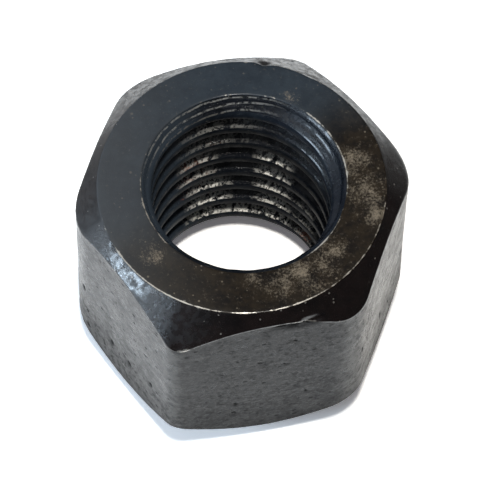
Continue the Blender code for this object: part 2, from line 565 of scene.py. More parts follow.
    def edge_wear(self, skin: Skin) -> np.ndarray:
        """Tell how exposed each point is to knocks and rubbing.

        Args:
            skin: The surface, before wear.

        Returns:
            Up to 1 on an edge, and 0 away from all edges.
        """
        bends = self.bends(skin.angles)
        wear = np.zeros(len(skin.angles))
        mouth = strongest(self.mouth_rubs, skin.angles, skin.heights)
        face = strongest(self.face_rubs, skin.angles, skin.heights)
        knocks = strongest(self.corner_knocks, skin.angles, skin.heights)
        widths = (self.mouth_rub_width, self.face_rub_width, self.knock_width)
        for bend, width, strength in zip(bends, widths, (mouth, face, knocks)):
            away = np.hypot(skin.radii - bend.radius, skin.heights - bend.height)
            wear = np.maximum(wear, strength * np.exp(-((away / width) ** 2)))
        upright = self.hexagon.corner_closeness(skin.angles, self.corner_rub_width)
        return np.maximum(wear, self.corner_rub * upright * self.on_flats(skin))

    def on_flats(self, skin: Skin) -> np.ndarray:
        """Tell where the forged flats are.

        Args:
            skin: The surface, before wear.

        Returns:
            1 on the flats, falling to 0 at their two ends.
        """
        bends = self.bends(skin.angles)
        outside = skin.radii > bends[2].radius - self.flat_skin
        from_top = np.clip((bends[2].height - skin.heights) / self.flat_fade, 0.0, 1.0)
        from_bottom = np.clip((skin.heights - bends[3].height) / self.flat_fade, 0.0, 1.0)
        return outside * from_top * from_bottom

    def on_torn_flank(self, skin: Skin) -> np.ndarray:
        """Tell how far the cutting of the thread has torn the flank that looks up.

        Args:
            skin: The surface, before wear.

        Returns:
            1 where it is torn most, and 0 where it is whole.
        """
        flank = self.thread.on_flank(skin.angles, skin.heights)
        inside = skin.radii < self.thread.diameter / 2
        return flank * inside * strongest(self.torn_flanks, skin.angles, skin.heights)

    def known_dents(self) -> list[Dent]:
        """List the nicks, pits and gouges that show in the photograph.

        Returns:
            One dent for each, from the face down. Without a radius, a dent lies on a flat.
        """
        face, chamfer = self.height, self.height - 0.5 * MM
        return [
            Dent(69.9, face, 0.5 * MM, 0.45 * MM, 0.35 * MM, 12.8 * MM),
            Dent(51.2, face, 0.7 * MM, 0.35 * MM, 0.16 * MM, 12.9 * MM),
            Dent(-162.0, face, 0.35 * MM, 0.3 * MM, 0.1 * MM, 12.5 * MM),
            Dent(-86.0, 20.2 * MM, 0.9 * MM, 0.22 * MM, 0.18 * MM, 13.5 * MM),
            Dent(-81.5, 20.0 * MM, 0.8 * MM, 0.25 * MM, 0.25 * MM, 13.6 * MM),
            Dent(-77.0, 20.2 * MM, 0.5 * MM, 0.35 * MM, 0.3 * MM, 13.7 * MM),
            Dent(-73.0, 20.3 * MM, 0.6 * MM, 0.4 * MM, 0.22 * MM, 13.9 * MM),
            Dent(-79.5, chamfer, 1.3 * MM, 0.25 * MM, 0.08 * MM, 13.2 * MM),
            Dent(-121.9, 18.5 * MM, 0.5 * MM, 0.3 * MM, 0.2 * MM, 15.4 * MM),
            Dent(-80.9, 17.2 * MM, 0.28 * MM, 0.22 * MM, 0.09 * MM),
            Dent(-94.0, 14.0 * MM, 0.22 * MM, 0.19 * MM, 0.07 * MM),
            Dent(-84.9, 13.1 * MM, 0.19 * MM, 0.19 * MM, 0.06 * MM),
            Dent(-102.5, 6.9 * MM, 0.22 * MM, 0.31 * MM, 0.08 * MM),
            Dent(-76.2, 7.3 * MM, 0.19 * MM, 0.25 * MM, 0.07 * MM),
            Dent(-103.0, 5.4 * MM, 0.25 * MM, 0.25 * MM, 0.08 * MM),
            Dent(-33.4, 7.6 * MM, 0.19 * MM, 0.68 * MM, 0.09 * MM),
            Dent(-54.1, 10.3 * MM, 0.15 * MM, 0.5 * MM, 0.07 * MM),
            Dent(-50.7, 10.9 * MM, 0.15 * MM, 0.31 * MM, 0.06 * MM),
            Dent(-10.4, 9.4 * MM, 0.19 * MM, 0.31 * MM, 0.07 * MM),
            Dent(-23.4, 5.9 * MM, 0.15 * MM, 0.31 * MM, 0.07 * MM),
            Dent(-175.9, 9.8 * MM, 0.28 * MM, 0.43 * MM, 0.09 * MM),
            Dent(-156.0, 18.8 * MM, 0.15 * MM, 0.15 * MM, 0.06 * MM),
            Dent(-147.1, 6.2 * MM, 0.31 * MM, 0.43 * MM, 0.1 * MM),
            Dent(-158.4, 6.1 * MM, 0.31 * MM, 0.5 * MM, 0.09 * MM),
            Dent(-173.4, 3.8 * MM, 0.37 * MM, 0.31 * MM, 0.09 * MM),
            Dent(-150.7, 14.1 * MM, 0.19 * MM, 0.19 * MM, 0.06 * MM),
            Dent(-134.2, 7.3 * MM, 0.25 * MM, 0.37 * MM, 0.08 * MM),
        ]

    def scattered_pits(self) -> list[Dent]:
        """Strew the small pits that forging scale has left all over the flats.

        Returns:
            The pits, which are the same in each run.
        """
        random = np.random.default_rng(self.seed)
        pits = []
        for _ in range(self.random_pits):
            size = float(random.uniform(*self.pit_sizes)) * MM
            pits.append(
                Dent(
                    angle=float(random.uniform(-180.0, 180.0)),
                    height=float(random.uniform(*self.pit_heights)) * MM,
                    width=size * float(random.uniform(*self.pit_widths)),
                    length=size,
                    depth=size * float(random.uniform(*self.pit_depths)),
                )
            )
        return pits

    def carve(self, skin: Skin, dents: list[Dent]) -> tuple[np.ndarray, np.ndarray]:
        """Return how deep the dents go at each point, and how much each point lies in one.

        Args:
            skin: The surface, before wear.
            dents: What to press into it.

        Returns:
            The depth in metres and a mask from 0 to 1, for each point.
        """
        points = skin.points()
        depth = np.zeros(len(points))
        inside = np.zeros(len(points))
        for dent in dents:
            angle = math.radians(dent.angle)
            radius = dent.radius
            if radius is None:
                radius = float(self.hexagon.reach(np.array([angle]))[0])
            centre = np.array([radius * math.cos(angle), radius * math.sin(angle), dent.height])
            reach = self.dent_reach * max(dent.width, dent.length)
            near = np.flatnonzero(np.max(np.abs(points - centre), axis=1) < reach)
            away = points[near] - centre
            along = away @ np.array([-math.sin(angle), math.cos(angle), 0.0])
            rest = np.sum(away**2, axis=1) - along**2
            share = np.exp(-((along / dent.width) ** 2) - rest / dent.length**2)
            depth[near] += dent.depth * share
            inside[near] = np.maximum(inside[near], share)
        return depth, inside

    def weather(self, skin: Skin) -> dict[str, np.ndarray]:
        """Press wear, forging grain and pits into the skin, always inwards.

        Args:
            skin: The surface, which is changed in place.

        Returns:
            The masks that the finishes read, by name.
        """
        points = skin.points()
        flats, torn, edge = self.on_flats(skin), self.on_torn_flank(skin), self.edge_wear(skin)
        waves = SurfaceNoise(grain=7.0, octaves=2).at(points)
        mottle = SurfaceNoise(grain=1.1, octaves=3, stretch=1.6, origin=(7.1, 3.3, 1.7)).at(points)
        tears = SurfaceNoise(grain=0.6, octaves=2, stretch=1.4, origin=(2.9, 8.2, 4.6)).at(points)
        sink = flats * (self.wave_depth * (1.0 - waves) / 2 + self.mottle_depth * (1.0 - mottle) / 2)
        sink += (self.grain_depth + self.edge_grain_depth * edge) * (1.0 - mottle) / 2
        sink += self.tear_depth * torn * np.clip(tears + self.tear_level, 0.0, 1.0)
        marks, marked = self.carve(skin, self.known_dents())
        pits, pitted = self.carve(skin, self.scattered_pits())
        sink += marks + pits * flats
        seated = np.clip(skin.heights / self.seat_easing, 0.0, 1.0)
        moved = points - skin.normals() * (sink * seated)[:, None]
        skin.radii = np.hypot(moved[:, 0], moved[:, 1])
        skin.heights = np.maximum(moved[:, 2], 0.0)
        skin.angles = np.arctan2(moved[:, 1], moved[:, 0])
        return {"edge": edge, "torn": torn, "pit": np.maximum(marked, self.pit_darkness * pitted * flats)}

    def build(self) -> bpy.types.Object:
        """Make the nut, dress it and put it in the solid's place.

        Returns:
            The finished object, which rides on the root body.
        """
        skin = self.skin()
        masks = self.weather(skin)
        mesh = bpy.data.meshes.new("nut_skin")
        mesh.from_pydata(skin.points().tolist(), [], skin.faces)
        mesh.polygons.foreach_set("material_index", [zone.value for zone in skin.zones])
        mesh.shade_smooth()
        for name, values in masks.items():
            mesh.attributes.new(name, "FLOAT", "POINT").data.foreach_set("value", values)
        for finish in finishes():
            mesh.materials.append(finish.material())
        nut = bpy.data.objects.new("nut", mesh)
        bpy.context.scene.collection.objects.link(nut)
        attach(nut, "root")
        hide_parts(NODE)
        return nut


class Nodes:
    """Adds nodes to one node tree, with an input given as a number, a colour or another node's output."""

    def __init__(self, tree: bpy.types.NodeTree) -> None:
        """Remember the tree that the nodes go into."""
        self.tree = tree

    def add(self, kind: str, **settings: str | float | bool | bpy.types.NodeTree) -> bpy.types.Node:
        """Add one node.

        Args:
            kind: The node's type, without the ShaderNode in front of it.
            settings: The node's own settings, by name.

        Returns:
            The new node.
        """
        node = self.tree.nodes.new("ShaderNode" + kind)
        for name, value in settings.items():
            setattr(node, name, value)
        return node

    def feed(self, socket: Socket, value: Feed) -> None:
        """Give an input its value.

        Args:
            socket: The input.
            value: Another node's output, which is linked, or a number or colour, which is set.
        """
        if isinstance(value, bpy.types.NodeSocket):
            self.tree.links.new(value, socket)
        elif isinstance(value, tuple) and len(value) == 3 and socket.type == "RGBA":
            socket.default_value = (*value, 1.0)
        else:
            socket.default_value = value

    def math(self, operation: str, *values: Feed) -> Socket:
        """Do one piece of arithmetic.

        Args:
            operation: The operation's name.
            values: One, two or three values.

        Returns:
            The result.
        """
        node = self.add("Math", operation=operation)
        for socket, value in zip(node.inputs, values):
            self.feed(socket, value)
        return node.outputs[0]

    def times(self, first: Feed, second: Feed) -> Socket:
        """Return one value times another."""
        return self.math("MULTIPLY", first, second)

    def most(self, first: Feed, second: Feed) -> Socket:
        """Return the larger of two values."""
        return self.math("MAXIMUM", first, second)

    def rest(self, share: Feed) -> Socket:
        """Return what a share leaves of 1."""
        return self.math("SUBTRACT", 1.0, share)

    def vector_math(self, operation: str, first: Feed, second: Feed = (0.0, 0.0, 0.0)) -> Socket:
        """Do one operation on vectors.

        Args:
            operation: The operation's name.
            first: The vector that it starts from.
            second: The other vector, or the factor of a SCALE.

        Returns:
            A value for a length, distance or dot product, and else a vector.
        """
        node = self.add("VectorMath", operation=operation)
        self.feed(node.inputs[0], first)
        if operation == "SCALE":
            self.feed(node.inputs["Scale"], second)
        else:
            self.feed(node.inputs[1], second)
        return node.outputs["Value" if operation in ("LENGTH", "DISTANCE", "DOT_PRODUCT") else "Vector"]

    def parts(self, vector: Feed) -> list[Socket]:
        """Split a vector.

        Args:
            vector: The vector.

        Returns:
            Its x, y and z.
        """
        node = self.add("SeparateXYZ")
        self.feed(node.inputs[0], vector)
        return list(node.outputs)

    def spread(self, value: Feed, low: Feed, high: Feed, start: Feed = 0.0, end: Feed = 1.0) -> Socket:
        """Map a value smoothly from one range to another.

        Args:
            value: The value.
            low: Where its range starts.
            high: Where its range ends.
            start: The result at low.
            end: The result at high.

        Returns:
            The mapped value, which stays between start and end.
        """
        node = self.add("MapRange", interpolation_type="SMOOTHSTEP")
        for name, fed in (("Value", value), ("From Min", low), ("From Max", high), ("To Min", start), ("To Max", end)):
            self.feed(node.inputs[name], fed)
        return node.outputs[0]

    def blend(self, share: Feed, first: Feed, second: Feed) -> Socket:
        """Mix two colours.

        Args:
            share: How much of the second there is, from 0 to 1.
            first: The colour at 0.
            second: The colour at 1.

        Returns:
            The mixed colour.
        """
        node = self.add("Mix", data_type="RGBA")
        for socket, value in zip((node.inputs[0], node.inputs[6], node.inputs[7]), (share, first, second)):
            self.feed(socket, value)
        return node.outputs[2]

    def level(self, share: Feed, first: Feed, second: Feed) -> Socket:
        """Mix two values.

        Args:
            share: How much of the second there is, from 0 to 1.
            first: The value at 0.
            second: The value at 1.

        Returns:
            The mixed value.
        """
        node = self.add("Mix", data_type="FLOAT")
        for socket, value in zip((node.inputs[0], node.inputs[2], node.inputs[3]), (share, first, second)):
            self.feed(socket, value)
        return node.outputs[0]

    def cloud(self, vector: Feed, scale: Feed, detail: float = 3.0, rough: float = 0.55) -> Socket:
        """Add soft noise.

        Args:
            vector: Where it is read.
            scale: How many clouds there are to a unit of length.
            detail: How many finer layers are added.
            rough: How strong the finer layers are.

        Returns:
            The noise, from 0 to 1.
        """
        node = self.add("TexNoise")
        for name, value in (("Vector", vector), ("Scale", scale), ("Detail", detail), ("Roughness", rough)):
            self.feed(node.inputs[name], value)
        return node.outputs[0]

    def cells(self, vector: Feed, scale: Feed) -> bpy.types.Node:
        """Add a pattern of cells.

        Args:
            vector: Where it is read.
            scale: How many cells there are to a unit of length.

        Returns:
            The node, whose outputs are Distance and Color.
        """
        node = self.add("TexVoronoi")
        self.feed(node.inputs["Vector"], vector)
        self.feed(node.inputs["Scale"], scale)
        return node

    def mask(self, name: str) -> Socket:
        """Return the value of one of the skin's own masks."""
        return self.add("Attribute", attribute_name=name).outputs["Fac"]

    def effect(self, tree: bpy.types.NodeTree, **values: Feed) -> bpy.types.Node:
        """Place an effect.

        Args:
            tree: The effect's group.
            values: The group's inputs by name, with a space written as an underscore.

        Returns:
            The placed group.
        """
        node = self.add("Group", node_tree=tree)
        for name, value in values.items():
            self.feed(node.inputs[name.replace("_", " ")], value)
        return node


class Effect:
    """A shader effect that several finishes share: a node group with named sockets, built once."""

    name: str = ""
    inputs: tuple[tuple[str, str], ...] = ()
    outputs: tuple[tuple[str, str], ...] = ()

    @classmethod
    def tree(cls) -> bpy.types.NodeTree:
        """Build the group, or find it where it is built already.

        Returns:
            The group.
        """
        if cls.name in bpy.data.node_groups:
            return bpy.data.node_groups[cls.name]
        tree = bpy.data.node_groups.new(cls.name, "ShaderNodeTree")
        for name, kind in cls.inputs:
            tree.interface.new_socket(name=name, in_out="INPUT", socket_type="NodeSocket" + kind)
        for name, kind in cls.outputs:
            tree.interface.new_socket(name=name, in_out="OUTPUT", socket_type="NodeSocket" + kind)
        given = tree.nodes.new("NodeGroupInput")
        result = tree.nodes.new("NodeGroupOutput")
        nodes = Nodes(tree)
        for name, value in cls.fill(nodes, {name: given.outputs[name] for name, _ in cls.inputs}).items():
            nodes.feed(result.inputs[name], value)
        return tree

    @classmethod
    def fill(cls, nodes: Nodes, given: Sockets) -> Sockets:
        """Add the group's own nodes, from its inputs by name, and return what feeds each output."""
        raise NotImplementedError


class OxideMottle(Effect):
    """Clouds of thick and thin oxide, between two colours."""

    name = "Oxide Mottle"
    inputs = (("Vector", "Vector"), ("Scale", "Float"), ("Dark", "Color"), ("Light", "Color"), ("Contrast", "Float"))
    outputs = (("Color", "Color"),)
    fine_scale = 5.3
    fine_share = 0.35

    @classmethod
    def fill(cls, nodes: Nodes, given: Sockets) -> Sockets:
        """Mix a broad and a fine cloud, then pick the colour by the result.

        Args:
            nodes: What adds the nodes.
            given: The group's inputs by name.

        Returns:
            What feeds each output.
        """
        broad = nodes.cloud(given["Vector"], given["Scale"], detail=5.0, rough=0.6)
        fine = nodes.cloud(given["Vector"], nodes.times(given["Scale"], cls.fine_scale), detail=4.0, rough=0.65)
        half = nodes.math("DIVIDE", 0.5, given["Contrast"])
        low, high = nodes.math("SUBTRACT", 0.5, half), nodes.math("ADD", 0.5, half)
        value = nodes.spread(nodes.level(cls.fine_share, broad, fine), low, high)
        return {"Color": nodes.blend(value, given["Dark"], given["Light"])}


class WornEdge(Effect):
    """Bare metal where an edge is rubbed, broken up as real rubbing is."""

    name = "Worn Edge"
    inputs = (("Vector", "Vector"), ("Edge", "Float"), ("Reach", "Float"), ("Breakup", "Float"))
    outputs = (("Mask", "Float"),)
    softness = 0.35

    @classmethod
    def fill(cls, nodes: Nodes, given: Sockets) -> Sockets:
        """Lower the edge mask by noise, and cut it at the reach.

        Args:
            nodes: What adds the nodes.
            given: The group's inputs by name.

        Returns:
            What feeds each output.
        """
        ragged = nodes.cloud(given["Vector"], scale=1.1, detail=6.0, rough=0.7)
        loss = nodes.times(nodes.math("SUBTRACT", ragged, 0.5), given["Breakup"])
        exposed = nodes.math("SUBTRACT", given["Edge"], loss)
        start = nodes.rest(given["Reach"])
        return {"Mask": nodes.spread(exposed, start, nodes.math("ADD", start, cls.softness))}


class FineSpeckle(Effect):
    """Scattered specks of dust, scale or bright metal."""

    name = "Fine Speckle"
    inputs = (("Vector", "Vector"), ("Scale", "Float"), ("Density", "Float"))
    outputs = (("Mask", "Float"),)
    smallest = 0.08
    size_range = 0.3
    wobble_scale = 2.0
    wobble_share = 0.25
    softness = 0.12

    @classmethod
    def fill(cls, nodes: Nodes, given: Sockets) -> Sockets:
        """Keep the middles of a few cells, chosen by their random colour, with ragged outlines.

        Args:
            nodes: What adds the nodes.
            given: The group's inputs by name.

        Returns:
            What feeds each output.
        """
        wobble = nodes.cloud(given["Vector"], nodes.times(given["Scale"], cls.wobble_scale), detail=2.0)
        cells = nodes.cells(given["Vector"], given["Scale"])
        split = nodes.add("SeparateColor")
        nodes.feed(split.inputs[0], cells.outputs["Color"])
        chosen = nodes.math("LESS_THAN", split.outputs[0], given["Density"])
        size = nodes.math("MULTIPLY_ADD", split.outputs[1], cls.size_range, cls.smallest)
        far = nodes.math("ADD", cells.outputs["Distance"], nodes.times(wobble, cls.wobble_share))
        dot = nodes.spread(nodes.math("SUBTRACT", far, size), 0.0, cls.softness, start=1.0, end=0.0)
        return {"Mask": nodes.times(chosen, dot)}


class TurningRings(Effect):
    """The fine rings that a turning tool leaves round the thread's axis."""

    name = "Turning Rings"
    inputs = (("Vector", "Vector"), ("Per mm", "Float"))
    outputs = (("Height", "Float"),)
    change_round = 0.12

    @classmethod
    def fill(cls, nodes: Nodes, given: Sockets) -> Sockets:
        """Read noise by distance from the axis and by height, with only a slow change round the turn.

        Args:
            nodes: What adds the nodes.
            given: The group's inputs by name.

        Returns:
            What feeds each output.
        """
        x, y, z = nodes.parts(given["Vector"])
        radius = nodes.math("SQRT", nodes.math("ADD", nodes.times(x, x), nodes.times(y, y)))
        ring = nodes.add("CombineXYZ")
        nodes.feed(ring.inputs[0], nodes.times(nodes.math("ADD", radius, z), given["Per mm"]))
        nodes.feed(ring.inputs[1], nodes.times(x, cls.change_round))
        nodes.feed(ring.inputs[2], nodes.times(y, cls.change_round))
        return {"Height": nodes.cloud(ring.outputs[0], scale=1.0, detail=2.0)}


class ForgingGrain(Effect):
    """The skin that a forging die leaves: long low grain, and small pits where scale came off."""

    name = "Forging Grain"
    inputs = (("Vector", "Vector"), ("Scale", "Float"), ("Pit density", "Float"))
    outputs = (("Height", "Float"), ("Pits", "Float"))
    stretch = (0.9, 0.9, 1.35)
    pit_scale = 0.5
    pit_depth = 0.6

    @classmethod
    def fill(cls, nodes: Nodes, given: Sockets) -> Sockets:
        """Squeeze the noise along Z, so that the grain lies level, then add the pits.

        Args:
            nodes: What adds the nodes.
            given: The group's inputs by name.

        Returns:
            What feeds each output.
        """
        level = nodes.vector_math("MULTIPLY", given["Vector"], cls.stretch)
        grain = nodes.cloud(level, given["Scale"], detail=5.0, rough=0.7)
        specks = nodes.effect(
            FineSpeckle.tree(),
            Vector=level,
            Scale=nodes.times(given["Scale"], cls.pit_scale),
            Density=given["Pit density"],
        )
        pits = specks.outputs["Mask"]
        return {"Height": nodes.math("SUBTRACT", grain, nodes.times(pits, cls.pit_depth)), "Pits": pits}


class OilFilm(Effect):
    """Oil that lies thick in places and is wiped off in others."""

    name = "Oil Film"
    inputs = (("Vector", "Vector"), ("Scale", "Float"), ("Wet", "Float"), ("Dry", "Float"))
    outputs = (("Roughness", "Float"), ("Film", "Float"))

    @classmethod
    def fill(cls, nodes: Nodes, given: Sockets) -> Sockets:
        """Turn a cloud into smears, which set the roughness between wet and dry.

        Args:
            nodes: What adds the nodes.
            given: The group's inputs by name.

        Returns:
            What feeds each output.
        """
        cloud = nodes.cloud(given["Vector"], given["Scale"], detail=4.0, rough=0.6)
        wiped = nodes.spread(cloud, low=0.36, high=0.64)
        return {"Roughness": nodes.level(wiped, given["Wet"], given["Dry"]), "Film": nodes.rest(wiped)}


class RunInHighlights(Effect):
    """Painted highlights: fine light lines along the first shallow turns under the outer mouth, at the back."""

    name = "Run-in Highlights"
    inputs = (("Vector", "Vector"), ("Spacing", "Float"), ("Lowest", "Float"))
    outputs = (("Mask", "Float"),)
    bend = 0.25
    fade_in = 0.4
    rear = (-0.3, 0.95, 0.0)

    @classmethod
    def fill(cls, nodes: Nodes, given: Sockets) -> Sockets:
        """Draw level lines by height, bend them a little, and let noise break them.

        Args:
            nodes: What adds the nodes.
            given: The group's inputs by name.

        Returns:
            What feeds each output.
        """
        height = nodes.parts(given["Vector"])[2]
        bent = nodes.math("MULTIPLY_ADD", nodes.cloud(given["Vector"], scale=0.4, detail=1.0), cls.bend, height)
        wave = nodes.math("SINE", nodes.math("DIVIDE", nodes.times(bent, math.tau), given["Spacing"]))
        high = nodes.spread(height, given["Lowest"], nodes.math("ADD", given["Lowest"], cls.fade_in))
        rear = nodes.spread(nodes.vector_math("DOT_PRODUCT", given["Vector"], cls.rear), low=4.5, high=8.0)
        whole = nodes.spread(nodes.cloud(given["Vector"], scale=2.4, detail=4.0, rough=0.75), low=0.38, high=0.56)
        lines = nodes.times(nodes.spread(wave, low=0.35, high=1.0), nodes.times(high, rear))
        return {"Mask": nodes.times(lines, whole)}


class ScuffPatch(Effect):
    """One scuffed patch round a point, ragged at its rim and broken inside."""

    name = "Scuff Patch"
    inputs = (("Vector", "Vector"), ("Centre", "Vector"), ("Reach", "Float"))
    outputs = (("Mask", "Float"),)
    fine_share = 0.68
    nearness_share = 0.2

    @classmethod
    def fill(cls, nodes: Nodes, given: Sockets) -> Sockets:
        """Let the distance from the centre fade the patch, and fine noise break it into flecks.

        Args:
            nodes: What adds the nodes.
            given: The group's inputs by name.

        Returns:
            What feeds each output.
        """
        away = nodes.vector_math("DISTANCE", given["Vector"], given["Centre"])
        near = nodes.rest(nodes.math("DIVIDE", away, given["Reach"]))
        broad = nodes.cloud(given["Vector"], scale=0.9, detail=3.0, rough=0.6)
        fine = nodes.cloud(given["Vector"], scale=4.4, detail=5.0, rough=0.8)
        flecks = nodes.math("MULTIPLY_ADD", near, cls.nearness_share, nodes.level(cls.fine_share, broad, fine))
        return {"Mask": nodes.spread(flecks, low=0.58, high=0.78)}


@dataclass(frozen=True)
class Fade:
    """A smooth step: where it starts and ends, and the values that it gives there."""

    low: float
    high: float
    start: float = 0.0
    end: float = 1.0

    def of(self, nodes: Nodes, value: Feed) -> Socket:
        """Return what the step makes of a value."""
        return nodes.spread(value, self.low, self.high, self.start, self.end)


@dataclass(frozen=True)
class Side:
    """One side of the nut: which way it lies from the axis, and how it fades in that way."""

    toward: Direction
    fade: Fade

    def mask(self, nodes: Nodes, place: Feed) -> Socket:
        """Return how much of this side there is at each place."""
        return self.fade.of(nodes, nodes.vector_math("DOT_PRODUCT", place, self.toward))


@dataclass(frozen=True)
class Clouds:
    """Soft noise cut to a mask: its clouds to a millimetre, its detail, its roughness and the cut."""

    scale: float
    detail: float
    rough: float
    cut: Fade

    def mask(self, nodes: Nodes, vector: Feed) -> Socket:
        """Return the mask."""
        return self.cut.of(nodes, nodes.cloud(vector, self.scale, self.detail, self.rough))


@dataclass(frozen=True)
class Oxide:
    """A mottled oxide: its clouds to a millimetre, its contrast and its two colours."""

    scale: float
    contrast: float
    dark: Colour
    light: Colour

    def colour(self, nodes: Nodes, vector: Feed) -> Socket:
        """Place the mottle.

        Args:
            nodes: What adds the nodes.
            vector: Where it is read.

        Returns:
            The oxide's colour.
        """
        tree, dark, light = OxideMottle.tree(), self.dark, self.light
        placed = nodes.effect(tree, Vector=vector, Scale=self.scale, Dark=dark, Light=light, Contrast=self.contrast)
        return placed.outputs["Color"]


@dataclass(frozen=True)
class Rubbing:
    """Rubbed edges: how far the bare metal reaches, and how broken it is."""

    reach: float
    breakup: float

    def mask(self, nodes: Nodes, place: Feed) -> Socket:
        """Place the worn edge.

        Args:
            nodes: What adds the nodes.
            place: Where it is read.

        Returns:
            A mask that is 1 on bare metal.
        """
        edge = nodes.mask("edge")
        worn = nodes.effect(WornEdge.tree(), Vector=place, Edge=edge, Reach=self.reach, Breakup=self.breakup)
        return worn.outputs["Mask"]


@dataclass(frozen=True)
class Specks:
    """Strewn specks: the cells to a millimetre that may hold one, and the share that do."""

    scale: float
    density: float

    def mask(self, nodes: Nodes, place: Feed) -> Socket:
        """Return a mask that is 1 on the specks."""
        return nodes.effect(FineSpeckle.tree(), Vector=place, Scale=self.scale, Density=self.density).outputs["Mask"]


@dataclass(frozen=True)
class Oiling:
    """Oil on a surface: its smears to a millimetre, the roughness wet and dry, and how much it shines."""

    scale: float
    wet: float
    dry: float
    shine: float = 0.0

    def lay(self, nodes: Nodes, shader: bpy.types.Node, vector: Feed) -> Socket:
        """Lay the oil on a shader as its coat.

        Args:
            nodes: What adds the nodes.
            shader: The finish's shader.
            vector: Where the smears are read.

        Returns:
            The roughness that the oil leaves.
        """
        film = nodes.effect(OilFilm.tree(), Vector=vector, Scale=self.scale, Wet=self.wet, Dry=self.dry)
        if self.shine:
            nodes.feed(shader.inputs["Coat Weight"], nodes.times(film.outputs["Film"], self.shine))
        return film.outputs["Roughness"]


@dataclass(frozen=True)
class Patch:
    """A scuffed or rusted patch: its middle in millimetres, and how far it reaches."""

    x: float
    y: float
    reach: float
    z: float = 21.6

    @staticmethod
    def mask(nodes: Nodes, place: Feed, patches: tuple["Patch", ...]) -> Feed:
        """Place several patches.

        Args:
            nodes: What adds the nodes.
            place: Where they are read.
            patches: The patches.

        Returns:
            A mask that is 1 on any of them.
        """
        covered = 0.0
        for patch in patches:
            centre = (patch.x, patch.y, patch.z)
            placed = nodes.effect(ScuffPatch.tree(), Vector=place, Centre=centre, Reach=patch.reach)
            covered = nodes.most(covered, placed.outputs["Mask"])
        return covered


@dataclass(frozen=True)
class Finish:
    """What every finish shares: a Principled shader over coordinates in millimetres."""

    name: str = "finish"
    bare_steel: Colour = (0.42, 0.40, 0.37)
    specular: float = 0.5
    coat_roughness: float = 0.15
    relief: float = 0.02 * MM

    def start(self) -> tuple[bpy.types.Material, Nodes, bpy.types.Node, Socket]:
        """Start the material and set what is the same all over it.

        Returns:
            The material, its nodes, its shader and the object's coordinates in millimetres.
        """
        material = bpy.data.materials.new(self.name)
        material.use_nodes = True
        nodes = Nodes(material.node_tree)
        shader = material.node_tree.nodes["Principled BSDF"]
        shader.inputs["Specular IOR Level"].default_value = self.specular
        shader.inputs["Coat Roughness"].default_value = self.coat_roughness
        place = nodes.add("TexCoord").outputs["Object"]
        return material, nodes, shader, nodes.vector_math("SCALE", place, 1.0 / MM)

    def bump(self, nodes: Nodes, shader: bpy.types.Node, height: Feed) -> None:
        """Give the shader a bump as deep as the finish's relief.

        Args:
            nodes: What adds the nodes.
            shader: The finish's shader.
            height: The height that the bump follows.
        """
        bump = nodes.add("Bump")
        nodes.feed(bump.inputs["Height"], height)
        bump.inputs["Distance"].default_value = self.relief
        nodes.feed(shader.inputs["Normal"], bump.outputs[0])

    def material(self) -> bpy.types.Material:
        """Return the finished material."""
        raise NotImplementedError


